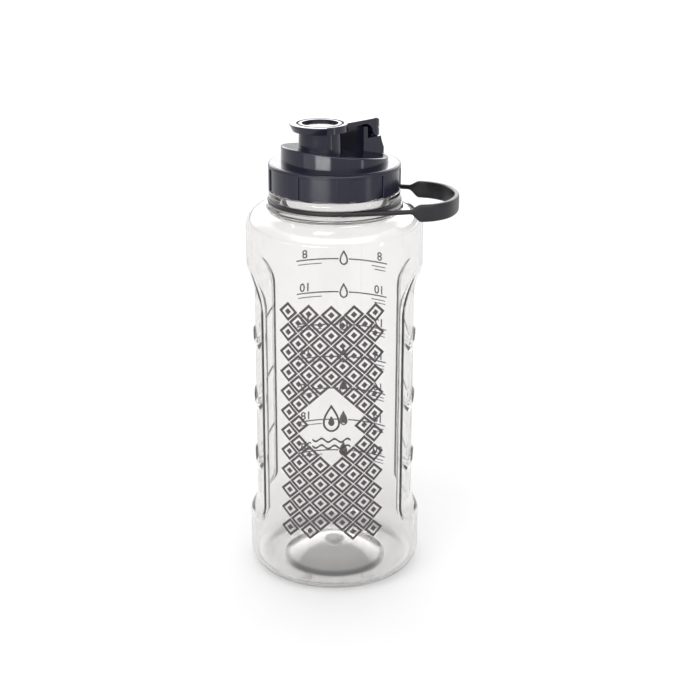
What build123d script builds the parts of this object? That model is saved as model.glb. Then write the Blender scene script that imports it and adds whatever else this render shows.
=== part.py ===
"""Large wide-mouth drinking bottle with a ribbed screw cap, a flip-up spout lid and a rubber carry strap.

Millimetres. The origin is on the bottle axis in the plane that the bottle stands on, +Z up. The front print
faces -Y, the finger grips are at -X and +X, and the strap loop points to +X.
"""
import os
from math import cos, radians, sin, sqrt, tan

from build123d import *

os.makedirs("parts", exist_ok=True)

# Bottle body
body_radius = 49.0
wall = 1.8
shoulder_height = 203.0  # top of the straight wall
shoulder_radius = 11.0
base_corner = 10.0
foot_inner_radius = 29.0  # inner edge of the ring that the bottle stands on
foot_step_width = 3.0  # step from the foot ring up to the edge of the dome
foot_step_height = 1.2
punt_height = 10.0  # rise of the dome pushed up into the base
gate_radius = 4.5
gate_height = 2.5

# Finger grips, one on each side of the body
grip_depth = 4.3
grip_half_width = 29.5
grip_bottom = 31.0
grip_top_gap = 15.0  # from the top of a grip to the top of the straight wall
grip_corner = 14.0
grip_slope = 30.0  # slope of the grip's side walls from straight in, degrees
grip_flare_low = 17.0  # height over which the floor runs out at the bottom
grip_flare_high = 18.0  # and at the top
grip_flare_round = 12.0
grip_draw_part = 0.72  # where a grip's pocket is drawn, as a part of its floor's radius
ridge_rise = 1.3
ridge_width = 4.2
ridge_drop = 9.0  # how far a ridge falls from the grip's edge to its low point
ridge_crest = 5.0  # how far it climbs again in the middle
ridge_low_part = 0.4  # place of its low points, as a part of the grip's half width
ridge_count = 3
ridge_top_gap = 40.5  # from the top of a grip to its first ridge
ridge_pitch = 36.5

# Neck, from the shoulder up. The rises are measured from the outside of the neck's tube.
neck_radius = 31.9
neck_wall = 1.8
neck_root_rise = 5.4
neck_root_height = 2.2
groove_rise = 2.3
groove_height = 3.0
bead_rise = 4.2
bead_height = 4.2
finish_height = 9.2  # from the bead to the rim

# Screw thread of the neck and the cap
thread_lead = 4.0
thread_turns = 1.25
thread_depth = 1.5
thread_root_width = 1.9
thread_crest_width = 1.0
thread_start = 2.2  # height of the first turn's middle above the bead
thread_gap = 0.45  # radial play between a crest and the wall it faces
thread_bite = 0.3  # how far its root is sunk into the wall

# Ribbed collar
collar_gap = 0.5  # between the bead and the collar
collar_wall = 1.6
rib_rise = 0.8
rib_count = 8
rib_angle = 12.0
rib_first = -81.0
rib_edge = 0.3
band_height = 2.5  # plain band above the ribs
collar_top_wall = 1.9
collar_round = 1.5

# Spout deck
deck_wall = 1.8
deck_height = 10.0  # from the seat of its flange to the middle of its sloping top
deck_slope = 8.4  # degrees, falling towards the hinge
deck_edge = 0.8
flange_gap = 0.85  # between the flange and the collar's bore
flange_lip = 3.8  # how far the flange stands out from the deck
flange_height = 2.3
gasket_height = 1.8
gasket_inset = 0.1  # how far the gasket stands into the mouth
gasket_width = 2.6
running_gap = 0.3
snap_gap = 0.05  # between the deck and the lip of the collar

# Spout
hinge_azimuth = 46.0
spout_offset = 10.7
spout_base_radius = 11.9
spout_top_radius = 11.4
spout_wall = 2.8
spout_height = 23.8  # spout rim above the flange seat

# Flip lid
lid_plate = 2.4
lid_skirt = 1.5
lid_skirt_gap = 0.8
lid_rim = 2.7  # width of the rim round the spout
lid_groove_inset = 2.6
lid_groove_width = 1.4
lid_groove_depth = 0.9
lid_dimple_inset = 5.0
lid_dimple_depth = 1.3
lid_edge = 0.4  # rounding of the lid's top edge
tab_reach = 1.9
tab_half_angle = 60.0
arm_corner = 6.0  # rounding of the arm's end, seen from above
arm_roll = 8.0  # length over which the arm's top rolls down to its end
arm_half_width = 11.0
arm_height = 2.4
arm_root = 4.0  # from the middle of the spout to the start of the arm
arm_neck = 1.5  # from the bracket to the turn of the arm's underside
arm_turn = 7.5  # radius of that turn
plug_gap = 0.35
plug_depth = 2.6
plug_plate = 0.9
plug_lip = 1.6

# Hinge
pin_inset = 6.7  # from the deck's rim to the hinge axis
pin_drop = 2.7  # hinge axis below the spout rim
pin_radius = 1.25
pin_inset_end = 0.4  # how far the pin's ends lie inside the barrel's
pin_chamfer = 0.25
barrel_radius = 4.4
ear_radius = 3.0
ear_relief = 1.2  # taken off the ears' outer sides below the pin, so that the lid can lie back
ear_width = 3.0
cheek_width = 1.9  # wall of the lid's barrel outside each ear
bracket_length = 11.1  # from the front of the bracket to the hinge axis
bracket_gap = 0.35
brow_width = 3.1  # wall at the bracket's front that reaches up under the arm
brow_gap = 1.1
bracket_back = 2.2  # from the hinge axis to the bracket's back
bracket_belly = 0.9  # how far the back's hollow curve stands out at half height
bracket_flare = 3.5  # the bracket's outer foot below the middle of the deck
hinge_side_gap = 0.3

# Carry strap
strap_ring_height = 2.4
strap_ring_width = 2.3
strap_thickness = 2.8
strap_strand_height = 2.6
strap_pad_height = 9.4
strap_pad_inset = 7.5  # the strap starts to widen this far inside the body's outline
strap_pad_ramp = 5.0
strap_rise_start = 5.0  # from the bottle's axis to the place where the strands leave the ring
strap_bend_back = 17.5  # from the pad back to the strands' widest place
strap_bend_out = 3.6
strap_tip_back = 10.5  # from the loop's end back to its shoulder
strap_tip_in = 4.6
strap_tip_part = 0.35  # half width of the flat end, as a part of the loop's half width
strap_overhang = 17.6  # reach of the loop beyond the body
strap_narrowing = 8.3  # the loop's half width is this much less than the ring's radius
strap_pad_drop = 0.9  # the pad's middle below the ring's middle

# Heights worked out from the sizes above
shoulder_top = shoulder_height + shoulder_radius
grip_top = shoulder_height - grip_top_gap
groove_bottom = shoulder_top + neck_root_height
groove_top = groove_bottom + groove_height
bead_top = groove_top + bead_height
rim_height = bead_top + finish_height
flange_seat = rim_height + gasket_height
collar_bottom = bead_top + collar_gap
collar_ceiling = flange_seat + flange_height
collar_top = collar_ceiling + collar_top_wall
collar_height = collar_top - collar_bottom
thread_middle = bead_top + thread_start

# Radii worked out from the sizes above
mouth_radius = neck_radius - neck_wall
neck_root_radius = neck_radius + neck_root_rise
groove_radius = neck_radius + groove_rise
bead_radius = neck_radius + bead_rise
gasket_inner_radius = mouth_radius - gasket_inset
gasket_outer_radius = gasket_inner_radius + gasket_width
collar_bore = neck_radius + thread_depth + thread_gap
panel_radius = collar_bore + collar_wall
rib_radius = panel_radius + rib_rise
flange_radius = collar_bore - flange_gap
deck_radius = flange_radius - flange_lip
spout_bore_radius = spout_top_radius - spout_wall
lid_radius = spout_top_radius + lid_skirt_gap + lid_rim
lid_groove_radius = lid_radius - lid_groove_inset
lid_dimple_radius = lid_radius - lid_dimple_inset
plug_radius = spout_bore_radius - plug_gap
pin_offset = deck_radius - pin_inset
bracket_inner = pin_offset - bracket_length
ear_outer = arm_half_width - cheek_width - hinge_side_gap
ear_inner = ear_outer - ear_width
strap_ring_inner = groove_radius + running_gap
strap_ring_outer = strap_ring_inner + strap_ring_width
strap_half_width = strap_ring_outer - strap_narrowing
strap_pad_start = body_radius - strap_pad_inset
strap_pad_full = strap_pad_start + strap_pad_ramp
strap_reach = body_radius + strap_overhang
deck_middle = flange_seat + deck_height
spout_rim = flange_seat + spout_height
lid_under = spout_rim + running_gap
lid_top = lid_under + lid_plate
pin_height = spout_rim - pin_drop
grip_floor = body_radius - grip_depth
grip_start = grip_floor * grip_draw_part
grip_edge = sqrt(body_radius**2 - grip_half_width**2)
grip_side_run = (grip_edge - grip_start) * tan(radians(grip_slope))
strap_middle = groove_bottom + groove_height / 2

# Direction of the hinge
hinge_cos = cos(radians(hinge_azimuth))
hinge_sin = sin(radians(hinge_azimuth))
hinge_x = (hinge_cos, hinge_sin, 0)


def plan_at(height, along=0.0):
    """Level plane of the cap at a height, its origin moved towards the hinge."""
    return Plane(origin=(hinge_cos * along, hinge_sin * along, height), x_dir=hinge_x, z_dir=(0, 0, 1))


def side_at(across):
    """Upright plane of the hinge, moved sideways along the hinge axis."""
    return Plane(origin=(hinge_sin * across, -hinge_cos * across, 0), x_dir=hinge_x,
                 z_dir=(hinge_sin, -hinge_cos, 0))


def save(part, name):
    part.label = name
    export_step(part, f"parts/{name}.step")


def side_plane(side, distance):
    """Upright plane across the left or right side of the body: its x runs along the side, its y is up."""
    return Plane(origin=(side * distance, 0, 0), x_dir=(0, side, 0), z_dir=(side, 0, 0))


def waist(radius, clear):
    """Round form whose outside is the floor of the grips, flared to the clear radius above and below."""
    with BuildPart() as form:
        with BuildSketch(Plane.XZ):
            with BuildLine():
                Polyline((0, 0), (clear, 0), (clear, grip_bottom - grip_flare_low * 0.5),
                         (radius, grip_bottom + grip_flare_low * 0.5), (radius, grip_top - grip_flare_high),
                         (clear, grip_top + grip_flare_high * 0.5), (clear, shoulder_top * 1.1),
                         (0, shoulder_top * 1.1), close=True)
            profile = make_face()
            fillet(profile.vertices().filter_by(lambda v: abs(v.X - radius) < 0.01), grip_flare_round)
        revolve(axis=Axis.Z)
    return form.part


def grip_pocket(side, inset):
    """What one finger grip takes out of the body."""
    half = grip_half_width - grip_side_run + inset
    low = grip_bottom - inset - grip_side_run
    arch = grip_top - grip_half_width - grip_side_run
    bend = grip_corner
    mitre = bend * (1 - sin(radians(45)))
    with BuildPart(mode=Mode.PRIVATE) as pocket:
        with BuildSketch(side_plane(side, grip_start)):
            with BuildLine():
                Line((-half, arch), (-half, low + bend))
                ThreePointArc((-half, low + bend), (-half + mitre, low + mitre), (-half + bend, low))
                Line((-half + bend, low), (half - bend, low))
                ThreePointArc((half - bend, low), (half - mitre, low + mitre), (half, low + bend))
                Line((half, low + bend), (half, arch))
                ThreePointArc((half, arch), (0, arch + half), (-half, arch))
            make_face()
        extrude(amount=body_radius * 1.05 - grip_start, taper=-grip_slope)
        add(waist(grip_floor - inset, body_radius * 1.1), mode=Mode.SUBTRACT)
    return pocket.part


def ridge(side, height):
    """One wavy finger ridge standing on the floor of a grip."""
    half = grip_half_width
    low = height - ridge_drop
    low_place = half * ridge_low_part
    wave = ((-half, height), (-low_place, low), (0, low + ridge_crest), (low_place, low), (half, height))
    with BuildPart(mode=Mode.PRIVATE) as rib:
        with BuildSketch(side_plane(side, grip_start)):
            with BuildLine():
                top = Polyline(*wave)
                bottom = Polyline(*[(y, z - ridge_width) for y, z in wave])
                Line(top @ 0, bottom @ 0)
                Line(top @ 1, bottom @ 1)
            make_face()
        extrude(amount=body_radius - grip_start)
        with BuildSketch(Plane.XY):
            Circle(grip_floor + ridge_rise)
        extrude(amount=shoulder_top, mode=Mode.INTERSECT)
        with BuildSketch(Plane.XY):
            Circle(grip_floor - wall / 2)
        extrude(amount=shoulder_top, mode=Mode.SUBTRACT)
    return rib.part


def thread(radius, depth, first_height, first_angle):
    """Helical thread standing on a cylinder, outwards for a positive depth and inwards for a negative one."""
    root = thread_root_width / 2
    crest = thread_crest_width / 2
    bite = -thread_bite if depth > 0 else thread_bite
    with BuildPart(mode=Mode.PRIVATE) as coil:
        with BuildLine():
            Helix(pitch=thread_lead, height=thread_lead * thread_turns, radius=radius)
        with BuildSketch(Plane.XZ):
            with BuildLine():
                tip = radius + depth
                Polyline((radius + bite, -root), (radius, -root), (tip, -crest), (tip, crest), (radius, root),
                         (radius + bite, root), close=True)
            make_face()
        sweep(is_frenet=True)
    placed = coil.part.rotate(Axis.Z, first_angle)
    return placed.translate((0, 0, first_height))


def body_form(inset):
    """Closed shape of the bottle's body up to the shoulder, drawn in by a wall thickness."""
    radius = body_radius - inset
    corner = base_corner - inset
    turn = shoulder_radius - inset
    step = sin(radians(45))
    foot_outer = body_radius - base_corner
    dome_edge = foot_step_height + inset
    half_step = foot_step_width / 2
    with BuildPart() as form:
        with BuildSketch(Plane.XZ):
            with BuildLine():
                dome = ThreePointArc((0, punt_height + inset),
                                     (foot_inner_radius * 0.55, punt_height * 0.72 + inset),
                                     (foot_inner_radius - half_step, dome_edge))
                Line(dome @ 1, (foot_inner_radius + half_step, inset))
                Line((foot_inner_radius + half_step, inset), (foot_outer, inset))
                ThreePointArc((foot_outer, inset), (foot_outer + corner * step, base_corner - corner * step),
                              (radius, base_corner))
                Line((radius, base_corner), (radius, shoulder_height))
                centre = body_radius - shoulder_radius
                ThreePointArc((radius, shoulder_height),
                              (centre + turn * step, shoulder_height + turn * step),
                              (centre, shoulder_top - inset))
                Line((centre, shoulder_top - inset), (0, shoulder_top - inset))
                Line((0, shoulder_top - inset), dome @ 0)
            make_face()
        revolve(axis=Axis.Z)
        # Grips: pockets with sloping walls, sunk to a waisted floor
        for side in (-1, 1):
            add(grip_pocket(side, inset), mode=Mode.SUBTRACT)
    return form.part


# Bottle: one moulding from the base to the rim of the neck
with BuildPart() as bottle_body:
    add(body_form(0))
    for side in (-1, 1):
        for index in range(ridge_count):
            add(ridge(side, grip_top - ridge_top_gap - index * ridge_pitch))
    with BuildSketch(Plane.XY.offset(shoulder_top - wall)):
        Circle(neck_root_radius)
    extrude(amount=wall + neck_root_height)
    for radius, low, high in ((groove_radius, groove_bottom, groove_top), (bead_radius, groove_top, bead_top),
                              (neck_radius, bead_top, rim_height)):
        with BuildSketch(Plane.XY.offset(low)):
            Circle(radius)
        extrude(amount=high - low)
    add(thread(neck_radius, thread_depth, thread_middle, 0))
    add(body_form(wall), mode=Mode.SUBTRACT)
    with BuildSketch(Plane.XY.offset(shoulder_height)):
        Circle(mouth_radius)
    extrude(amount=rim_height - shoulder_height, mode=Mode.SUBTRACT)
    with BuildSketch(Plane.XY.offset(punt_height - gate_height)):
        Circle(gate_radius)
    extrude(amount=gate_height + wall / 2)
save(bottle_body.part, "bottle_body")


def on_rib_edge(edge):
    """True for the outer edges of the ribs and of the plain band between them."""
    middle = edge @ 0.5
    outside = abs(sqrt(middle.X**2 + middle.Y**2) - rib_radius) < 0.05
    return outside and collar_bottom + 0.1 < middle.Z < collar_top - band_height + 0.1


# Collar: ribbed ring with the thread inside and a lip at the top that holds the deck down
with BuildPart() as screw_collar:
    with BuildSketch(Plane.XY.offset(collar_bottom)):
        Circle(panel_radius)
    extrude(amount=collar_height)
    with BuildSketch(Plane.XY.offset(collar_top - band_height)):
        Circle(rib_radius)
    extrude(amount=band_height)
    rib_height = collar_height - band_height
    with BuildSketch(Plane.XY.offset(collar_bottom)):
        with BuildLine():
            half_rib = radians(rib_angle / 2)
            far = rib_radius * 1.2
            rib_x = far * cos(half_rib)
            rib_y = far * sin(half_rib)
            Polyline((0, 0), (rib_x, -rib_y), (rib_x, rib_y), close=True)
        wedge = make_face(mode=Mode.PRIVATE)
        for index in range(rib_count):
            add(wedge.rotate(Axis.Z, rib_first + index * 360 / rib_count))
        Circle(rib_radius, mode=Mode.INTERSECT)
        Circle(panel_radius - collar_wall / 2, mode=Mode.SUBTRACT)
    extrude(amount=rib_height + band_height / 2)
    top_edges = screw_collar.edges().filter_by(GeomType.CIRCLE).group_by(Axis.Z)[-1]
    fillet(top_edges, collar_round)
    rib_edges = screw_collar.edges().filter_by(on_rib_edge)
    fillet(rib_edges, rib_edge)
    with BuildSketch(Plane.XY.offset(collar_bottom)):
        Circle(collar_bore)
    extrude(amount=collar_ceiling - collar_bottom, mode=Mode.SUBTRACT)
    with BuildSketch(Plane.XY.offset(collar_bottom)):
        Circle(deck_radius + snap_gap)
    extrude(amount=collar_height, mode=Mode.SUBTRACT)
    add(thread(collar_bore, -thread_depth, thread_middle, 180))
save(screw_collar.part, "screw_collar")

# Gasket: flat ring between the rim of the neck and the deck's flange
with BuildPart() as rim_gasket:
    with BuildSketch(Plane.XY.offset(rim_height)):
        Circle(gasket_outer_radius)
        Circle(gasket_inner_radius, mode=Mode.SUBTRACT)
    extrude(amount=gasket_height)
save(rim_gasket.part, "rim_gasket")


def sloping(height):
    """Plane of the deck's top, or parallel to it lower down."""
    slope = radians(deck_slope)
    normal = (sin(slope) * hinge_cos, sin(slope) * hinge_sin, cos(slope))
    return Plane(origin=(0, 0, height), x_dir=(-hinge_sin, hinge_cos, 0), z_dir=normal)


# Deck: the cap's sloping top with the spout and the two ears of the hinge
with BuildPart() as spout_deck:
    with BuildSketch(Plane.XY.offset(flange_seat)):
        Circle(deck_radius)
    extrude(amount=deck_height * 2)
    split(bisect_by=sloping(deck_middle), keep=Keep.BOTTOM)
    fillet(spout_deck.edges().group_by(Axis.Z)[-1], deck_edge)
    with BuildSketch(Plane.XY.offset(flange_seat)):
        Circle(flange_radius)
    extrude(amount=flange_height)
    with BuildPart(mode=Mode.PRIVATE) as hollow:
        with BuildSketch(Plane.XY.offset(flange_seat)):
            Circle(deck_radius - deck_wall)
        extrude(amount=deck_height * 2)
        split(bisect_by=sloping(deck_middle - deck_wall), keep=Keep.BOTTOM)
    # Spout
    spout_foot = deck_middle - deck_wall
    with BuildPart(mode=Mode.PRIVATE) as spout:
        with BuildSketch(plan_at(spout_foot, -spout_offset)):
            Circle(spout_base_radius)
        with BuildSketch(plan_at(spout_rim, -spout_offset)):
            Circle(spout_top_radius)
        loft()
        fillet(spout.edges().group_by(Axis.Z)[-1], deck_edge)
    add(spout.part)
    # Bracket that carries the hinge, flared at its foot to the rim of the deck
    with BuildPart(mode=Mode.PRIVATE) as bracket:
        with BuildSketch(side_at(0)):
            with BuildLine():
                crown = pin_height - barrel_radius - bracket_gap
                back = pin_offset + bracket_back
                brow = lid_under - brow_gap
                Polyline((bracket_inner, deck_middle - deck_wall), (bracket_inner, brow),
                         (bracket_inner + brow_width, brow - brow_gap / 2),
                         (bracket_inner + brow_width, crown), (back, crown))
                foot = deck_middle - bracket_flare
                belly = (back + bracket_belly, (crown + deck_middle) / 2)
                ThreePointArc((back, crown), belly, (deck_radius, foot))
                Line((deck_radius, foot), (bracket_inner, foot - deck_wall))
                Line((bracket_inner, foot - deck_wall), (bracket_inner, deck_middle - deck_wall))
            make_face()
        extrude(amount=arm_half_width, both=True)
        with BuildSketch(Plane.XY.offset(flange_seat)):
            Circle(deck_radius)
        extrude(amount=spout_height, mode=Mode.INTERSECT)
        for across in (-(ear_inner + ear_outer) / 2, (ear_inner + ear_outer) / 2):
            with BuildSketch(side_at(across)):
                with Locations((pin_offset, pin_height)):
                    Circle(ear_radius)
                with Locations((pin_offset - ear_relief / 2, (pin_height + deck_middle) / 2)):
                    Rectangle(ear_radius * 2 - ear_relief, pin_height - deck_middle)
            extrude(amount=(ear_outer - ear_inner) / 2, both=True)
    add(bracket.part)
    add(hollow.part, mode=Mode.SUBTRACT)
    # Inside the deck the spout's tube stays open right through
    with BuildSketch(plan_at(flange_seat, -spout_offset)):
        Circle(spout_bore_radius)
    extrude(amount=spout_height + 1, mode=Mode.SUBTRACT)
    with BuildSketch(side_at(0)):
        with Locations((pin_offset, pin_height)):
            Circle(pin_radius)
    extrude(amount=arm_half_width, both=True, mode=Mode.SUBTRACT)
save(spout_deck.part, "spout_deck")

# Hinge pin
pin_end = arm_half_width - pin_inset_end
with BuildPart() as hinge_pin:
    with BuildSketch(side_at(0)):
        with Locations((pin_offset, pin_height)):
            Circle(pin_radius)
    extrude(amount=pin_end, both=True)
    chamfer(hinge_pin.edges(), pin_chamfer)
save(hinge_pin.part, "hinge_pin")

# Lid: round cover over the spout, with a broad arm back to the hinge
with BuildPart() as flip_lid:
    with BuildSketch(plan_at(lid_under - lid_skirt, -spout_offset)):
        Circle(lid_radius)
    extrude(amount=lid_plate + lid_skirt)
    # Lip for the thumb, wider towards the top
    with BuildPart(mode=Mode.PRIVATE) as lip:
        with BuildSketch(plan_at(lid_under - lid_skirt, -spout_offset)):
            Circle(lid_radius)
        with BuildSketch(plan_at(lid_top, -spout_offset)):
            Circle(lid_radius + tab_reach)
        loft()
        with BuildSketch(plan_at(lid_under - lid_skirt, -spout_offset)):
            with BuildLine():
                reach = lid_radius * 3
                spread = radians(tab_half_angle)
                tab_x = -reach * cos(spread)
                tab_y = reach * sin(spread)
                Polyline((0, 0), (tab_x, -tab_y), (tab_x, tab_y), close=True)
            make_face()
        extrude(amount=lid_plate + lid_skirt, mode=Mode.INTERSECT)
    add(lip.part)
    fillet(flip_lid.edges().filter_by(GeomType.CIRCLE).group_by(Axis.Z)[-1], lid_edge)
    # Arm, with the barrel of the hinge at its end
    barrel_back = pin_offset + barrel_radius
    with BuildPart(mode=Mode.PRIVATE) as arm:
        with BuildSketch(side_at(0)):
            with BuildLine():
                arm_low = lid_top - arm_height
                arm_start = arm_root - spout_offset
                arm_bend = bracket_inner - arm_neck
                Line((arm_start, arm_low), (arm_bend, arm_low))
                RadiusArc((arm_bend, arm_low), (pin_offset - barrel_radius, pin_height), arm_turn)
                ThreePointArc((pin_offset - barrel_radius, pin_height),
                              (pin_offset, pin_height - barrel_radius), (barrel_back, pin_height))
                roll_start = barrel_back - arm_roll
                bend = cos(radians(45))
                roll_middle = (roll_start + arm_roll * bend, pin_height + (lid_top - pin_height) * bend)
                ThreePointArc((barrel_back, pin_height), roll_middle, (roll_start, lid_top))
                Line((roll_start, lid_top), (arm_start, lid_top))
                Line((arm_start, lid_top), (arm_start, arm_low))
            make_face()
        extrude(amount=arm_half_width, both=True)
        # The corners of the arm's end are round in plan
        with BuildSketch(plan_at(pin_height - barrel_radius)) as arm_plan:
            with BuildLine():
                Polyline((-barrel_back, -arm_half_width), (barrel_back, -arm_half_width),
                         (barrel_back, arm_half_width), (-barrel_back, arm_half_width), close=True)
            make_face()
            end_corners = arm_plan.vertices().sort_by(Axis((0, 0, 0), hinge_x))[-2:]
            fillet(end_corners, arm_corner)
        extrude(amount=barrel_radius * 3, mode=Mode.INTERSECT)
    add(arm.part)
    # Slots for the ears, open downwards and outwards
    slot_radius = ear_radius + hinge_side_gap
    for across in (-(ear_inner + ear_outer) / 2, (ear_inner + ear_outer) / 2):
        with BuildSketch(side_at(across)):
            with Locations((pin_offset, pin_height)):
                Circle(slot_radius)
            with Locations((pin_offset, pin_height - barrel_radius)):
                Rectangle(slot_radius * 2, barrel_radius * 2)
            with Locations((pin_offset + barrel_radius, pin_height - barrel_radius + slot_radius / 2)):
                Rectangle(barrel_radius * 2, barrel_radius * 2 + slot_radius)
        extrude(amount=(ear_outer - ear_inner) / 2 + hinge_side_gap, both=True, mode=Mode.SUBTRACT)
    with BuildSketch(side_at(0)):
        with Locations((pin_offset, pin_height)):
            Circle(pin_radius)
    extrude(amount=pin_end, both=True, mode=Mode.SUBTRACT)
    # Room for the spout under the cover
    with BuildSketch(plan_at(lid_under - lid_skirt, -spout_offset)):
        Circle(spout_top_radius + lid_skirt_gap)
    extrude(amount=lid_skirt, mode=Mode.SUBTRACT)
    # Groove and dimple on top
    with BuildSketch(plan_at(lid_top - lid_groove_depth, -spout_offset)):
        Circle(lid_groove_radius + lid_groove_width / 2)
        Circle(lid_groove_radius - lid_groove_width / 2, mode=Mode.SUBTRACT)
    extrude(amount=lid_groove_depth, mode=Mode.SUBTRACT)
    with BuildSketch(plan_at(lid_top - lid_dimple_depth, -spout_offset)):
        Circle(lid_dimple_radius)
    extrude(amount=lid_dimple_depth, mode=Mode.SUBTRACT)
save(flip_lid.part, "flip_lid")

# Plug: soft disc under the lid that closes the spout
with BuildPart() as lid_plug:
    with BuildSketch(plan_at(lid_under - plug_depth, -spout_offset)):
        Circle(plug_radius)
    extrude(amount=plug_depth)
    with BuildSketch(plan_at(lid_under - plug_depth, -spout_offset)):
        Circle(plug_radius - plug_lip)
    extrude(amount=plug_depth - plug_plate, mode=Mode.SUBTRACT)
save(lid_plug.part, "lid_plug")

# Strap: ring round the neck and a loop to one side, one rubber moulding
with BuildPart() as carry_strap:
    ring_low = strap_middle - strap_ring_height / 2
    with BuildSketch(Plane.XY.offset(ring_low)):
        Circle(strap_ring_outer)
        Circle(strap_ring_inner, mode=Mode.SUBTRACT)
    extrude(amount=strap_ring_height)
    with BuildPart(mode=Mode.PRIVATE) as loop:
        with BuildSketch(Plane.XY.offset(strap_middle - strap_pad_height)):
            with BuildLine():
                route = [(strap_rise_start, strap_ring_outer - strap_thickness / 2),
                         (strap_pad_start - strap_bend_back, strap_half_width + strap_bend_out),
                         (strap_pad_start, strap_half_width),
                         (strap_reach - strap_tip_back, strap_half_width - strap_tip_in),
                         (strap_reach - strap_thickness / 2, strap_half_width * strap_tip_part)]
                Spline(*route, *[(x, -y) for x, y in reversed(route)], tangents=((1, 0), (-1, 0)))
            trace(line_width=strap_thickness)
        extrude(amount=strap_pad_height * 2)
        with BuildSketch(Plane.XZ):
            with BuildLine():
                strand = strap_strand_height / 2
                pad = strap_pad_height / 2
                middle = strap_middle - strap_pad_drop
                far = strap_reach * 1.1
                Polyline((0, strap_middle + strand), (strap_pad_start, strap_middle + strand),
                         (strap_pad_full, middle + pad), (far, middle + pad), (far, middle - pad),
                         (strap_pad_full, middle - pad), (strap_pad_start, strap_middle - strand),
                         (0, strap_middle - strand), close=True)
            make_face()
        extrude(amount=strap_half_width * 2, both=True, mode=Mode.INTERSECT)
    add(loop.part)
    with BuildSketch(Plane.XY.offset(ring_low - strap_thickness)):
        Circle(strap_ring_inner)
    extrude(amount=strap_ring_height + strap_thickness * 2, mode=Mode.SUBTRACT)
save(carry_strap.part, "carry_strap")

for piece in (bottle_body, screw_collar, rim_gasket, spout_deck, hinge_pin, flip_lid, lid_plug, carry_strap):
    print(piece.part.label, round(piece.part.volume), piece.part.is_valid, len(piece.part.solids()))
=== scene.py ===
# Large wide-mouth drinking bottle: clear body with grips, slate screw cap with a flip lid, rubber strap
import bmesh
import bpy
from math import atan2, cos, hypot, pi, radians, sin
from mathutils import Matrix, Vector


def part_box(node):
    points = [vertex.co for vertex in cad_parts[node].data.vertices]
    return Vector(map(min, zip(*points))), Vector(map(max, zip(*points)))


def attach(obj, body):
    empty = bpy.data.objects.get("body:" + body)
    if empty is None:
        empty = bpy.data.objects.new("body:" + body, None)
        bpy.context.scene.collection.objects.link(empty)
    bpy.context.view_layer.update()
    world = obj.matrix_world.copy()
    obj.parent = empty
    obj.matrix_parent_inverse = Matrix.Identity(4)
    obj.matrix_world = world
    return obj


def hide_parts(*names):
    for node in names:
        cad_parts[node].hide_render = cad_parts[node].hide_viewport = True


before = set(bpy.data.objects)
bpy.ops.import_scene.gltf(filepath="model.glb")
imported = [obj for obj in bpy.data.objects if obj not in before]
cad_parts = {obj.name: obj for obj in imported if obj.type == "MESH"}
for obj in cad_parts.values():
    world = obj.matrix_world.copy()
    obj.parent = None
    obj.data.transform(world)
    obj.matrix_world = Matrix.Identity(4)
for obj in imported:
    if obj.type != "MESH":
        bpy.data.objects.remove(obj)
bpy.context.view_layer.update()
mm = 0.001
print("frame loaded with", len(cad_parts), "CAD nodes")


camera = {
    "azimuth": 2.0,  # degrees towards +X from straight in front
    "elevation": 19.63,
    "distance": 0.84325,
    "aim": (0, 0, 0.12944),
    "lens": 76.27,
    "shift": 0.02214,
}


def around(azimuth, elevation, distance, aim):
    flat = cos(radians(elevation))
    way = Vector((sin(radians(azimuth)) * flat, -cos(radians(azimuth)) * flat, sin(radians(elevation))))
    return Vector(aim) + way * distance


def placeFacing(name, data, spot, aim):
    thing = bpy.data.objects.new(name, data)
    bpy.context.scene.collection.objects.link(thing)
    thing.location = spot
    thing.rotation_euler = (Vector(aim) - Vector(spot)).to_track_quat("-Z", "Y").to_euler()
    return thing


cameraData = bpy.data.cameras.new("studioCamera")
cameraData.lens = camera["lens"]
cameraData.sensor_width = 36
cameraData.shift_x = camera["shift"]
cameraData.clip_start = 0.01
spot = around(camera["azimuth"], camera["elevation"], camera["distance"], camera["aim"])
bpy.context.scene.camera = placeFacing("studioCamera", cameraData, spot, camera["aim"])
bpy.context.scene.view_settings.view_transform = "Standard"

softBoxes = {  # each stands at a height and shines at a height, both in metres
    "stripBright": {"azimuth": -22, "reach": 0.55, "height": 0.128, "aim": 0.24,
                    "size": (0.30, 0.017), "power": 0.34},
    "stripDim": {"azimuth": -50, "reach": 0.55, "height": 0.128, "aim": 0.24,
                 "size": (0.30, 0.017), "power": 0.04},
    "edgeGlint": {"azimuth": 62, "reach": 0.60, "height": 0.12, "aim": 0.24,
                  "size": (0.04, 0.10), "power": 0.06},
    "top": {"azimuth": -25, "reach": 0.45, "height": 1.30, "aim": 0.10,
            "size": (0.35, 0.35), "power": 2.0},
}
for name, box in softBoxes.items():
    lamp = bpy.data.lights.new(name, "AREA")
    lamp.shape = "RECTANGLE"
    lamp.size, lamp.size_y = box["size"]
    lamp.energy = box["power"]
    spot = around(box["azimuth"], 0, box["reach"], (0, 0, box["height"]))
    placeFacing(name, lamp, spot, (0, 0, box["aim"])).visible_camera = False
print("camera and lights placed")


class Wire:  # one socket of a material, so that shader maths reads as plain expressions
    def __init__(self, finish, socket):
        self.finish, self.socket = finish, socket

    def maths(self, operation, *terms):
        return self.finish.node("Math", {"operation": operation}, dict(enumerate(terms)))

    def __add__(self, other):
        return self.maths("ADD", self, other)

    def __radd__(self, other):
        return self.maths("ADD", other, self)

    def __sub__(self, other):
        return self.maths("SUBTRACT", self, other)

    def __rsub__(self, other):
        return self.maths("SUBTRACT", other, self)

    def __mul__(self, other):
        return self.maths("MULTIPLY", self, other)

    def __rmul__(self, other):
        return self.maths("MULTIPLY", other, self)


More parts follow.
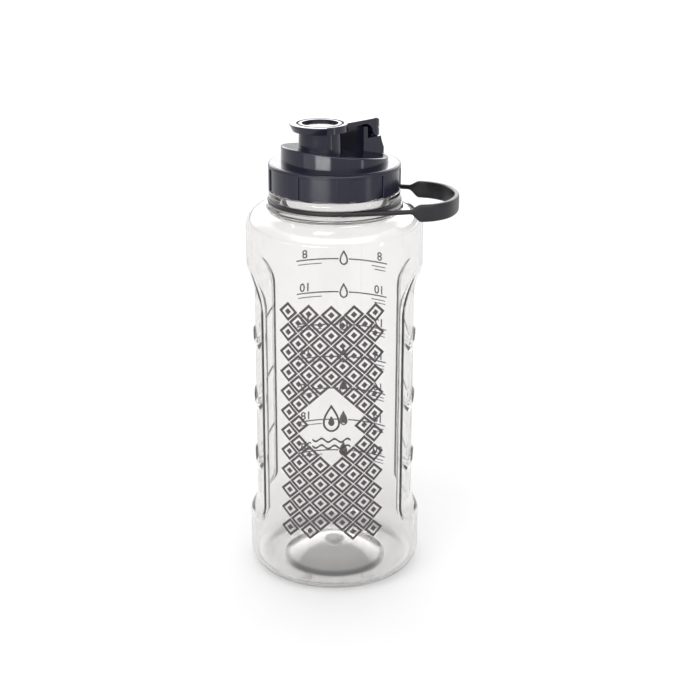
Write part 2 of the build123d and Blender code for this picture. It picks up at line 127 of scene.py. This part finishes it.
class Finish:  # a material being made, or the studio's light
    def __init__(self, name, holders=bpy.data.materials):
        self.material = holders.new(name)
        self.material.use_nodes = True
        self.tree = self.material.node_tree
        self.tree.nodes.clear()

    def node(self, kind, settings=None, feeds=None, out=0):
        made = self.tree.nodes.new("ShaderNode" + kind)
        for key, value in (settings or {}).items():
            setattr(made, key, value)
        for key, value in (feeds or {}).items():
            if isinstance(value, Wire):
                self.tree.links.new(value.socket, made.inputs[key])
            else:
                made.inputs[key].default_value = value
        return Wire(self, made.outputs[out]) if made.outputs else None

    def place(self, stretch=(1, 1, 1)):  # object coordinates in metres, stretched if a pattern runs one way
        spots = self.node("TexCoord", out="Object")
        return self.node("Mapping", {}, {"Vector": spots, "Scale": stretch})

    def noise(self, size, detail=2.0, rough=0.5, stretch=(1, 1, 1)):  # size of a feature in metres
        return self.node("TexNoise", {}, {"Vector": self.place(stretch), "Scale": 1 / size, "Detail": detail,
                                          "Roughness": rough})

    def ramp(self, value, low, high):  # 0 below low, 1 above high
        return self.node("MapRange", {"interpolation_type": "SMOOTHSTEP"}, {"Value": value, 1: low, 2: high})

    def mix(self, share, first, second):
        return self.node("Mix", {"data_type": "RGBA"}, {0: share, 6: first, 7: second}, out=2)

    def bump(self, height, depth, strength):
        return self.node("Bump", {}, {"Strength": strength, "Distance": depth, "Height": height})

    def surface(self, feeds, volume=None):
        parts = {"Surface": self.node("BsdfPrincipled", {}, feeds)}
        if volume:
            parts["Volume"] = self.node("VolumeAbsorption", {}, volume)
        self.node("OutputMaterial", {}, parts)
        return self.material


studioLight = {
    "dim": 0.45,  # straight up, and below the horizon
    "bright": 4.3,  # a band of light all round
    "band": (-0.02, 0.24, 0.52, 0.72),  # heights of the direction where the band comes and goes
    "sides": (0.55, 0.92),  # how far to the side the direction is where the band weakens
    "sideLoss": 0.85,
}


def makeStudio():
    made = Finish("studio", bpy.data.worlds)
    spots = made.node("TexCoord", out="Generated")
    way = made.node("SeparateXYZ", {}, {0: spots}, out="Z")
    across = made.node("SeparateXYZ", {}, {0: spots}, out="X")
    low, full, fade, high = studioLight["band"]
    band = made.ramp(way, low, full) * (1 - made.ramp(way, fade, high))
    flank = made.ramp(across * across, *[edge * edge for edge in studioLight["sides"]])
    band = band * (1 - studioLight["sideLoss"] * flank)
    strength = studioLight["dim"] + band * (studioLight["bright"] - studioLight["dim"])
    glow = made.node("Background", {}, {"Color": (1, 1, 1, 1), "Strength": strength})
    made.node("OutputWorld", {}, {"Surface": glow})
    bpy.context.scene.world = made.material


makeStudio()
bpy.context.scene.cycles.max_bounces = 24  # light crosses the clear walls many times
bpy.context.scene.cycles.transmission_bounces = 24

clearLook = {
    "tint": (0.995, 0.992, 0.988, 1),
    "smoke": (0.975, 0.972, 0.970, 1),
    "baseShade": (0.72, 0.72, 0.72, 1),  # painted shade over the base, whose wall is as thin as the rest
    "baseShadeFade": (0.0, 0.010),
    "footShade": (0.30, 0.30, 0.315, 1),  # painted shade on the edge of the dome and on the gate mark
    "footShadeRing": (0.0262, 0.0275, 0.0288, 0.0300),
    "gateShadeFade": (0.0050, 0.0066),
    "footShadeFade": (0.012, 0.014),
    "depthColour": (0.51, 0.49, 0.48, 1),
    "depth": 85.0,  # how fast light dies inside the wall, per metre
    "roughness": 0.02,
    "ior": 1.45,
}


def clearPlastic():
    made = Finish("clearPlastic")
    flow = made.noise(0.045, 2.0, 0.5, (1, 1, 0.4))  # slow streaks left by blowing the wall
    haze = made.ramp(made.noise(0.0022, 3.0, 0.65), 0.45, 0.9)
    height = made.node("SeparateXYZ", {}, {0: made.place()}, out="Z")
    wallTint = made.mix(flow, clearLook["tint"], clearLook["smoke"])
    # painted shade: the lowest centimetre of the bottle is darkened
    tint = made.mix(made.ramp(height, *clearLook["baseShadeFade"]), clearLook["baseShade"], wallTint)
    spread = made.node("VectorMath", {"operation": "LENGTH"}, {0: made.place((1, 1, 0))}, out="Value")
    # painted shade: a dark ring round the edge of the dome and a dark spot over the gate mark, fading out
    # above the foot
    rise, full, fall, end = clearLook["footShadeRing"]
    ring = made.ramp(spread, rise, full) * (1 - made.ramp(spread, fall, end))
    gate = 1 - made.ramp(spread, *clearLook["gateShadeFade"])
    paintedShade = (ring + gate) * (1 - made.ramp(height, *clearLook["footShadeFade"]))
    return made.surface({
        "Base Color": made.mix(paintedShade, tint, clearLook["footShade"]),
        "Roughness": clearLook["roughness"] + haze * 0.05,
        "IOR": clearLook["ior"],
        "Transmission Weight": 1.0,
        "Normal": made.bump(flow, 0.0006, 0.25),
    }, {"Color": clearLook["depthColour"], "Density": clearLook["depth"]})


slateLook = {
    "base": (0.006, 0.006, 0.016, 1),
    "worn": (0.011, 0.010, 0.020, 1),
    "ior": 1.39,
    "deck": (0.10, 0.00002),  # roughness, and depth of the grain in metres
    "collar": (0.20, 0.00004),
}


def slatePlastic(name, roughness, grain):
    made = Finish(name)
    cloud = made.noise(0.012, 3.0, 0.55)
    fine = made.noise(0.0005, 2.0, 0.6)
    rub = made.ramp(made.noise(0.0016, 4.0, 0.7, (1, 1, 0.25)), 0.55, 0.85)  # faint rub marks
    return made.surface({
        "Base Color": made.mix(cloud * 0.7, slateLook["base"], slateLook["worn"]),
        "Roughness": roughness + rub * 0.06 + cloud * 0.04,
        "IOR": slateLook["ior"],
        "Normal": made.bump(fine, grain, 0.35),
    })


rubberLook = {
    "base": (0.007, 0.006, 0.008, 1),
    "dusty": (0.020, 0.018, 0.020, 1),
    "roughness": 0.30,
    "ior": 1.40,
}


def strapRubber():
    made = Finish("strapRubber")
    grain = made.noise(0.0004, 3.0, 0.6)
    cloud = made.noise(0.009, 2.0, 0.5)
    dust = made.ramp(made.noise(0.003, 4.0, 0.7), 0.55, 0.9)
    return made.surface({
        "Base Color": made.mix(dust * 0.6, rubberLook["base"], rubberLook["dusty"]),
        "Roughness": rubberLook["roughness"] + cloud * 0.14,
        "IOR": rubberLook["ior"],
        "Normal": made.bump(grain, 0.00005, 0.5),
    })


siliconeLook = {
    "pale": (0.56, 0.56, 0.57, 1),
    "grey": (0.46, 0.46, 0.48, 1),
    "roughness": 0.42,
}


def softSilicone():
    made = Finish("softSilicone")
    cloud = made.noise(0.004, 3.0, 0.5)
    grain = made.noise(0.0003, 2.0, 0.6)
    return made.surface({
        "Base Color": made.mix(cloud, siliconeLook["pale"], siliconeLook["grey"]),
        "Roughness": siliconeLook["roughness"] + cloud * 0.15,
        "Normal": made.bump(grain, 0.00003, 0.4),
    })


steelLook = {
    "dark": (0.50, 0.49, 0.48, 1),
    "light": (0.66, 0.65, 0.64, 1),
    "roughness": 0.22,
}


def pinSteel():
    made = Finish("pinSteel")
    lines = made.noise(0.00025, 2.0, 0.5, (0.15, 0.15, 1))
    return made.surface({
        "Base Color": made.mix(lines, steelLook["dark"], steelLook["light"]),
        "Metallic": 1.0,
        "Roughness": steelLook["roughness"] + lines * 0.14,
        "Normal": made.bump(lines, 0.00002, 0.4),
    })


inkLook = {  # light and dark of the mottle
    "front": ((0.052, 0.043, 0.048, 1), (0.030, 0.024, 0.027, 1)),
    "back": ((0.040, 0.038, 0.050, 1), (0.018, 0.017, 0.024, 1)),
    "roughness": 0.45,
}


def screenInk(name, light, dark):
    made = Finish(name)
    mottle = made.ramp(made.noise(0.0011, 3.0, 0.7), 0.35, 0.75)
    film = made.noise(0.00035, 2.0, 0.6)
    return made.surface({
        "Base Color": made.mix(mottle, dark, light),
        "Roughness": inkLook["roughness"] + film * 0.15,
        "Normal": made.bump(film, 0.00002, 0.3),
    })


clear = clearPlastic()
deckSlate = slatePlastic("deckSlate", *slateLook["deck"])
collarSlate = slatePlastic("collarSlate", *slateLook["collar"])
rubber = strapRubber()
silicone = softSilicone()
steel = pinSteel()
frontInk = screenInk("frontInk", *inkLook["front"])
backInk = screenInk("backInk", *inkLook["back"])
print("finishes made")


def dress(thing, material):
    thing.data.materials.clear()
    thing.data.materials.append(material)


for nodeName, material in {"screw_collar": collarSlate, "spout_deck": deckSlate, "flip_lid": deckSlate,
                           "hinge_pin": steel, "rim_gasket": silicone, "lid_plug": silicone,
                           "bottle_body": clear, "carry_strap": rubber}.items():
    dress(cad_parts[nodeName], material)


def finishPiece(name, mesh, material, body, smooth=True):
    bmesh.ops.recalc_face_normals(mesh, faces=mesh.faces)
    data = bpy.data.meshes.new(name)
    mesh.to_mesh(data)
    mesh.free()
    thing = bpy.data.objects.new(name, data)
    bpy.context.scene.collection.objects.link(thing)
    data.materials.append(material)
    for face in data.polygons:
        face.use_smooth = smooth
    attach(thing, body)
    print("made", name, len(data.polygons), "faces")
    return thing


def ease(value, low=0.0, high=1.0):  # smooth step from 0 to 1
    share = min(1.0, max(0.0, (value - low) / (high - low)))
    return share * share * (3 - 2 * share)


def drawProfile(mesh, points, close=False):  # points are (radius, height, rounding) in millimetres
    corners = [mesh.verts.new((r * mm, 0, z * mm)) for r, z, _ in points]
    ends = corners[1:] + corners[:1] if close else corners[1:]
    for first, second in zip(corners, ends):
        mesh.edges.new((first, second))
    for rounding in sorted({p[2] for p in points if p[2]}):
        chosen = [v for v, p in zip(corners, points) if p[2] == rounding]
        bmesh.ops.bevel(mesh, geom=chosen, affect="VERTICES", offset=rounding * mm, offset_type="OFFSET",
                        segments=max(3, min(12, int(rounding * 2))), profile=0.5, material=-1)


def spinProfile(mesh, steps):
    bmesh.ops.spin(mesh, geom=mesh.verts[:] + mesh.edges[:], cent=(0, 0, 0), axis=(0, 0, 1), dvec=(0, 0, 0),
                   angle=2 * pi, steps=steps, use_merge=True)
    bmesh.ops.remove_doubles(mesh, verts=mesh.verts, dist=0.00001)


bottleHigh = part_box("bottle_body")[1]
bottle = {
    "radius": bottleHigh.y / mm,
    "rim": bottleHigh.z / mm,
    "wall": 1.8,
    "shoulder": 203.0,
    "steps": 232,
    "row": 1.2,
    "innerRow": 2.0,
    "threadRow": 0.3,
    "shoulderRound": 11.0,
    "baseCorner": 10.0,
    "foot": 30.5,  # radius where the bottle stands
    "dome": ((0, 10), (6, 9.7), (11, 8.9), (16, 7.2), (21, 4.9), (25, 2.7), (27.8, 1.1)),
    "gate": ((4.2, 7.5), (4.6, 9.85)),  # mark at the top of the dome
    "neck": ((37.3, 216.2), (34.2, 219.2), (36.1, 223.4)),  # root, groove and bead: radius and top
}
grip = {
    "floor": 44.7,
    "halfWidth": 29.5,
    "low": 31.0,
    "high": 188.0,
    "corner": 14.0,
    "edge": 2.8,  # width of the sloping side
    "lowFlare": (31.5, 42.0),  # where the floor runs out, below and above
    "highFlare": (166.0, 183.0),
    "ridges": (147.5, 111.0, 74.5),
    "ridgeDrop": 9.0,
    "ridgeCrest": 5.0,
    "ridgeWidth": 5.2,
    "ridgeRise": 1.3,
}
neckThread = {"radius": 31.9, "low": 223.4, "middle": 225.6, "lead": 4.0, "turns": 1.25, "depth": 1.5}


def gripInside(across, height):  # distance inside a grip's outline
    half, low, corner = grip["halfWidth"], grip["low"], grip["corner"]
    arch = grip["high"] - half
    side = abs(across)
    if height > arch:
        return half - hypot(side, height - arch)
    over, under = side - (half - corner), low + corner - height
    if over > 0 and under > 0:
        return corner - hypot(over, under)
    return min(half - side, height - low)


def gripFloor(height):  # share of the full depth at a height
    low, high = grip["lowFlare"], grip["highFlare"]
    return ease(height, *low) * (1 - ease(height, *high))


def waveHeight(across, top):  # the line of a ridge: high at the edges, two dips and a low crest between
    side = abs(across) / grip["halfWidth"]
    low = top - grip["ridgeDrop"]
    if side < 0.4:
        return low + grip["ridgeCrest"] * (1 - ease(side, 0, 0.4))
    return low + grip["ridgeDrop"] * ease(side, 0.36, 1.0)


def ridgeRise(across, height):
    rise = 0
    for top in grip["ridges"]:
        below = waveHeight(across, top) - height
        if -0.9 < below < grip["ridgeWidth"]:
            rise = ease(below, -0.9, 0.4) * (1 - max(0, below) / grip["ridgeWidth"])
    return rise * grip["ridgeRise"]


def shapeWall(spot, outer):  # sinks one point of the wall into a grip
    across, height = spot.y / mm, spot.z / mm
    radius = hypot(spot.x, spot.y) / mm
    if abs(spot.x) < abs(spot.y) * 0.9:
        return
    full = bottle["radius"] - (0 if outer else bottle["wall"])
    across *= full / radius
    inside = gripInside(across, height)
    sunk = ease(inside, 0, grip["edge"]) * gripFloor(height)
    if sunk <= 0:
        return
    depth = (bottle["radius"] - grip["floor"]) * sunk
    if outer:
        depth -= ridgeRise(across, height) * ease(inside, 0.5, 4.0)
    scale = (radius - depth) / radius
    spot.x *= scale
    spot.y *= scale


def shapeThread(spot):
    turn = atan2(spot.y, spot.x) % (2 * pi) / (2 * pi)
    for lap in range(-1, 3):
        along = turn + lap
        if not -0.1 < along < neckThread["turns"] + 0.1:
            continue
        off = abs(spot.z / mm - neckThread["middle"] - along * neckThread["lead"])
        last = neckThread["turns"]
        ends = ease(along, -0.08, 0.04) * (1 - ease(along, last - 0.04, last + 0.08))
        lift = (1 - ease(off, 0.45, 1.0)) * ends * neckThread["depth"]
        if lift > 0:
            scale = (neckThread["radius"] + lift) / neckThread["radius"]
            spot.x *= scale
            spot.y *= scale
            return


def buildBottle():
    radius, rim, wall, shoulder = bottle["radius"], bottle["rim"], bottle["wall"], bottle["shoulder"]
    mouth = neckThread["radius"] - wall
    foot, dome, corner, turn = bottle["foot"], bottle["dome"], bottle["baseCorner"], bottle["shoulderRound"]
    top = shoulder + turn
    outside = [(0, bottle["gate"][0][1], 0)] + [(r, z, 0.5) for r, z in bottle["gate"]]
    outside += [(r, z, 0) for r, z in dome[2:]]
    outside += [(foot, 0, 1.0), (radius, 0, corner), (radius, top, turn)]
    low, easing = top, 0.8
    for reach, high in bottle["neck"]:  # up the steps of the neck
        outside += [(reach, low, easing), (reach, high, 0.5)]
        low, easing = high, 0.5
    outside += [(neckThread["radius"], low, 0.6), (neckThread["radius"], rim, 0.5)]
    inside = [(mouth, rim, 0.5), (mouth, top - wall, 0.8), (radius - wall, top - wall, turn - wall),
              (radius - wall, wall, corner - wall), (foot, wall, 1.0)]
    inside += [(r, z + wall, 0) for r, z in reversed(dome[1:])] + [(0, dome[0][1] + wall, 0)]
    mesh = bmesh.new()
    drawProfile(mesh, outside + inside)
    # rows for the grips and the thread
    for edge in mesh.edges[:]:
        first, second = edge.verts[0].co / mm, edge.verts[1].co / mm
        tall = abs(first.z - second.z)
        if abs(first.x - second.x) > 0.01 or tall < 5:
            continue
        row = {True: bottle["row"], False: bottle["innerRow"]}[first.x > radius - 0.5]
        if abs(first.x - neckThread["radius"]) < 0.1:
            row = bottle["threadRow"]
        bmesh.ops.subdivide_edges(mesh, edges=[edge], cuts=int(tall / row))
    spinProfile(mesh, bottle["steps"])
    for vert in mesh.verts:
        reach = hypot(vert.co.x, vert.co.y) / mm
        height = vert.co.z / mm
        if grip["low"] < height < grip["high"] and reach > 40:
            shapeWall(vert.co, reach > radius - 0.5)
        elif neckThread["low"] < height < rim - 0.6 and abs(reach - neckThread["radius"]) < 0.1:
            shapeThread(vert.co)
    shell = finishPiece("bottleShell", mesh, clear, "bottle")
    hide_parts("bottle_body")


buildBottle()


lattice = {
    "columns": 4,  # each side of the middle one
    "turn": 7.1,  # degrees from one column to the next
    "top": 166.4,
    "pitch": 11.58,
    "rows": 12,
    "width": 11.4,
    "height": 10.9,
    "stroke": 1.4,
    "centre": 3.7,
    "window": 5.5,  # the row that the clear window is centred on
}
film = {"gap": 0.02, "thick": 0.06}  # how the ink stands on the wall


def flatRing(mesh, width, height, stroke, x, z, segments=4):
    ring = bmesh.ops.create_circle(mesh, cap_ends=True, segments=segments, radius=0.5)
    bmesh.ops.scale(mesh, vec=(width * mm, height * mm, 1), verts=ring["verts"])
    bmesh.ops.translate(mesh, vec=(x * mm, z * mm, 0), verts=ring["verts"])
    mesh.normal_update()
    face = ring["verts"][0].link_faces[0]
    if stroke:
        bmesh.ops.inset_individual(mesh, faces=[face], thickness=stroke * mm, use_even_offset=True)
        bmesh.ops.delete(mesh, geom=[face], context="FACES")


def flatBar(mesh, length, stroke, x, z, segments=24):
    bar = bmesh.ops.create_grid(mesh, x_segments=segments, y_segments=1, size=0.5)
    bmesh.ops.scale(mesh, vec=(length * mm, stroke * mm, 1), verts=bar["verts"])
    bmesh.ops.translate(mesh, vec=(x * mm, z * mm, 0), verts=bar["verts"])
    return bar["verts"]


def flatDrop(mesh, width, height, stroke, x, z, fill=0.0):  # a drop outline, filled from its tip to a share
    ring = bmesh.ops.create_circle(mesh, cap_ends=True, segments=28, radius=0.5)
    for vert in ring["verts"]:
        reach = (0.5 - vert.co.y)  # 0 at the tip, 1 at the bottom
        vert.co.x *= min(1.0, (reach * 1.25) ** 0.55) if reach < 0.8 else 1.0
    bmesh.ops.scale(mesh, vec=(width * mm, height * mm, 1), verts=ring["verts"])
    bmesh.ops.translate(mesh, vec=(x * mm, z * mm, 0), verts=ring["verts"])
    mesh.normal_update()
    face = ring["verts"][0].link_faces[0]
    bmesh.ops.inset_individual(mesh, faces=[face], thickness=stroke * mm, use_even_offset=True)
    if fill <= 0:
        bmesh.ops.delete(mesh, geom=[face], context="FACES")
        return
    if fill < 1:
        level = z + height * (0.5 - fill)
        cut = bmesh.ops.bisect_plane(mesh, geom=[face] + face.edges[:] + face.verts[:], dist=1e-7,
                                     plane_co=(0, level * mm, 0), plane_no=(0, 1, 0))
        low = [f for f in cut["geom"] if isinstance(f, bmesh.types.BMFace)
               and f.calc_center_median().y < level * mm]
        bmesh.ops.delete(mesh, geom=low, context="FACES")


def flatText(mesh, text, size, x, z):
    words = bpy.data.curves.new("figure", "FONT")
    words.body = text
    words.size = size * mm
    words.align_x = "CENTER"
    words.offset = 0.00012
    holder = bpy.data.objects.new("figure", words)
    bpy.context.scene.collection.objects.link(holder)
    bpy.context.view_layer.update()
    data = bpy.data.meshes.new_from_object(holder.evaluated_get(bpy.context.evaluated_depsgraph_get()))
    data.transform(Matrix.Translation((x * mm, z * mm, 0)))
    mesh.from_mesh(data)
    bpy.data.objects.remove(holder)
    bpy.data.curves.remove(words)
    bpy.data.meshes.remove(data)


def layOnWall(mesh, side):  # wraps a flat print, drawn in X and Y, round the front (-1) or the back (1)
    wide = [e for e in mesh.edges if e.calc_length() > 2.4 * mm]
    bmesh.ops.subdivide_edges(mesh, edges=wide, cuts=1)
    bmesh.ops.triangulate(mesh, faces=[f for f in mesh.faces if len(f.verts) > 4])
    bmesh.ops.solidify(mesh, geom=mesh.faces[:], thickness=film["thick"] * mm)
    heights = [v.co.z for v in mesh.verts]
    base = min(heights)
    wallRadius = bottle["radius"] + film["gap"]
    for vert in mesh.verts:
        turn = vert.co.x / (wallRadius * mm)
        reach = wallRadius * mm + vert.co.z - base
        vert.co = Vector((sin(turn) * reach * -side, cos(turn) * reach * side, vert.co.y))


def buildLattice():
    mesh = bmesh.new()
    arc = radians(lattice["turn"]) * bottle["radius"]
    for column in range(-lattice["columns"], lattice["columns"] + 1):
        shift = 0.5 * (column % 2)
        for row in range(lattice["rows"] - column % 2):
            off = abs(row + shift - lattice["window"])
            if abs(column) <= 2 and abs(column) / 2 + off <= 1.5 + 0.01:
                continue
            if column == 0 and row == lattice["rows"] - 1:
                continue
            x, z = column * arc, lattice["top"] - (row + shift) * lattice["pitch"]
            flatRing(mesh, lattice["width"], lattice["height"], lattice["stroke"], x, z)
            flatRing(mesh, lattice["centre"], lattice["centre"], 0, x, z)
    layOnWall(mesh, -1)
    finishPiece("frontLattice", mesh, frontInk, "bottle", smooth=False)


motif = {
    "drop": (11.0, 16.0, 1.1),  # width, height and stroke
    "dropHeight": 107.5,
    "innerShare": 0.36,  # small filled drop inside the first
    "innerDown": 1.6,
    "waves": (94.5, 90.6),
    "waveLength": 21.0,
    "waveStroke": 1.2,
    "wavePitch": 7.0,
}


def buildMotif():  # a drop over two waves, in the clear window of the lattice
    mesh = bmesh.new()
    width, height, stroke = motif["drop"]
    flatDrop(mesh, width, height, stroke, 0, motif["dropHeight"])
    share = motif["innerShare"]
    flatDrop(mesh, width * share, height * share, 0.8, 0, motif["dropHeight"] - motif["innerDown"], 1.0)
    for z in motif["waves"]:
        for vert in flatBar(mesh, motif["waveLength"], motif["waveStroke"], 0, z, 40):
            vert.co.y += sin(vert.co.x / mm * 2 * pi / motif["wavePitch"]) * mm
    layOnWall(mesh, -1)
    finishPiece("frontMotif", mesh, frontInk, "bottle", smooth=False)


marks = {
    "heights": (169.6, 149.2, 128.8, 108.3, 87.9, 67.4, 47.0),
    "figures": (8, 10, 12, 14, 16, 18, 20),
    "length": 58.0,
    "stroke": 0.8,
    "shift": -3.5,  # towards the reader's left, seen from behind
    "dropAt": -3.9,
    "drop": (6.2, 9.4, 1.0),
    "figureSize": 7.2,
    "figureAt": 23.5,
    "figureUp": 1.2,
    "noteStroke": 0.55,
    "notes": ((15.0, 20.5, 2.6), (10.0, -23.0, 2.6), (8.0, -24.0, 4.6)),  # plain bars: length, place, drop
}


def buildMarks():  # level lines on the back wall, each with its hour and a drop that fills down the bottle
    mesh = bmesh.new()
    width, height, stroke = marks["drop"]
    for index, z in enumerate(marks["heights"]):
        left, right = marks["shift"] - marks["length"] / 2, marks["shift"] + marks["length"] / 2
        dropLeft, dropRight = marks["dropAt"] - width / 2, marks["dropAt"] + width / 2
        flatBar(mesh, dropLeft - left, marks["stroke"], (left + dropLeft) / 2, z)
        flatBar(mesh, right - dropRight, marks["stroke"], (right + dropRight) / 2, z)
        flatDrop(mesh, width, height, stroke, marks["dropAt"], z + 0.8, index / 6)
        for side in (-1, 1):
            figure = str(marks["figures"][index])
            place = marks["shift"] + side * marks["figureAt"]
            flatText(mesh, figure, marks["figureSize"], place, z + marks["figureUp"])
        for length, along, drop in marks["notes"]:
            flatBar(mesh, length, marks["noteStroke"], marks["shift"] + along, z - drop, 8)
    layOnWall(mesh, 1)
    finishPiece("hourMarks", mesh, backInk, "bottle", smooth=False)


buildLattice()
buildMotif()
buildMarks()


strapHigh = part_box("carry_strap")[1]
strap = {
    "reach": strapHigh.x / mm,
    "ring": (34.5, 36.8, 216.5, 218.9),  # radii and heights of the ring round the neck
    "start": (5.0, 35.65),  # where a strand leaves the ring, in plan
    "route": ((24.0, 32.2), (41.5, 28.5), (56.1, 23.9), (65.2, 10.0)),
    "strand": (2.3, 2.6),  # thickness and height
    "pad": (2.8, 9.4),
    "middle": 217.7,
    "padDrop": 0.9,
    "ramp": (41.0, 47.0),  # where a strand widens into the pad
}


def strapLine():  # smooth line of the loop, seen from above, from one strand to the other
    half = (strap["start"],) + strap["route"]
    spots = list(half) + [(x, -y) for x, y in reversed(half)]
    curve = bpy.data.curves.new("strapLine", "CURVE")
    curve.dimensions = "3D"
    curve.resolution_u = 20
    spline = curve.splines.new("BEZIER")
    spline.bezier_points.add(len(spots) - 1)
    for point, (x, y) in zip(spline.bezier_points, spots):
        point.co = (x * mm, y * mm, 0)
        point.handle_left_type = point.handle_right_type = "AUTO"
    holder = bpy.data.objects.new("strapLine", curve)
    bpy.context.scene.collection.objects.link(holder)
    bpy.context.view_layer.update()
    data = bpy.data.meshes.new_from_object(holder.evaluated_get(bpy.context.evaluated_depsgraph_get()))
    line = [v.co.copy() for v in data.vertices]
    bpy.data.objects.remove(holder)
    bpy.data.curves.remove(curve)
    bpy.data.meshes.remove(data)
    return line


def buildStrap():
    line = strapLine()
    inner, outer, low, high = strap["ring"]
    mesh = bmesh.new()
    section = [(inner, low, 0.5), (outer, low, 0.7), (outer, high, 0.7), (inner, high, 0.5)]
    drawProfile(mesh, section, close=True)
    spinProfile(mesh, 160)
    sectionPoints = 28
    sheet = bmesh.ops.create_grid(mesh, x_segments=len(line) - 1, y_segments=sectionPoints, size=0.5)
    for vert in sheet["verts"]:
        index = round((vert.co.x + 0.5) * (len(line) - 1))
        turn = (vert.co.y + 0.5) * 2 * pi
        before, after = line[max(0, index - 1)], line[min(len(line) - 1, index + 1)]
        along = (after - before).normalized()
        share = ease(line[index].x / mm, *strap["ramp"])
        thick = strap["strand"][0] + (strap["pad"][0] - strap["strand"][0]) * share
        tall = strap["strand"][1] + (strap["pad"][1] - strap["strand"][1]) * share
        # a rounded oblong section, squarer where it is tall
        square = 0.62 - 0.25 * share
        out = abs(cos(turn)) ** square * (1 if cos(turn) > 0 else -1) * thick / 2
        up = abs(sin(turn)) ** square * (1 if sin(turn) > 0 else -1) * tall / 2
        middle = strap["middle"] - strap["padDrop"] * share
        vert.co = line[index] + Vector((along.y, -along.x, 0)) * out * mm + Vector((0, 0, (middle + up) * mm))
    bmesh.ops.remove_doubles(mesh, verts=sheet["verts"], dist=0.00001)
    bmesh.ops.holes_fill(mesh, edges=[e for e in mesh.edges if e.is_boundary], sides=0)
    band = finishPiece("strapBand", mesh, rubber, "strap")
    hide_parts("carry_strap")


buildStrap()


floorMesh = bmesh.new()
bmesh.ops.create_grid(floorMesh, x_segments=1, y_segments=1, size=12.0)
bmesh.ops.translate(floorMesh, vec=(0, 0, -0.0002), verts=floorMesh.verts)
floorData = bpy.data.meshes.new("floor")
floorMesh.to_mesh(floorData)
floorMesh.free()
floor = bpy.data.objects.new("floor", floorData)
bpy.context.scene.collection.objects.link(floor)
floorLook = {
    "pale": (0.52, 0.52, 0.52, 1),
    "paler": (0.54, 0.54, 0.54, 1),
    "glow": 0.24,
}
floorFinish = Finish("paleFloor")
floorTone = floorFinish.noise(0.4, 2.0, 0.5)
floorData.materials.append(floorFinish.surface({
    "Base Color": floorFinish.mix(floorTone, floorLook["pale"], floorLook["paler"]),
    "Emission Color": (1.0, 1.0, 1.0, 1),
    "Emission Strength": floorLook["glow"],
    "Roughness": 0.8,
    "Specular IOR Level": 0.1,
}))
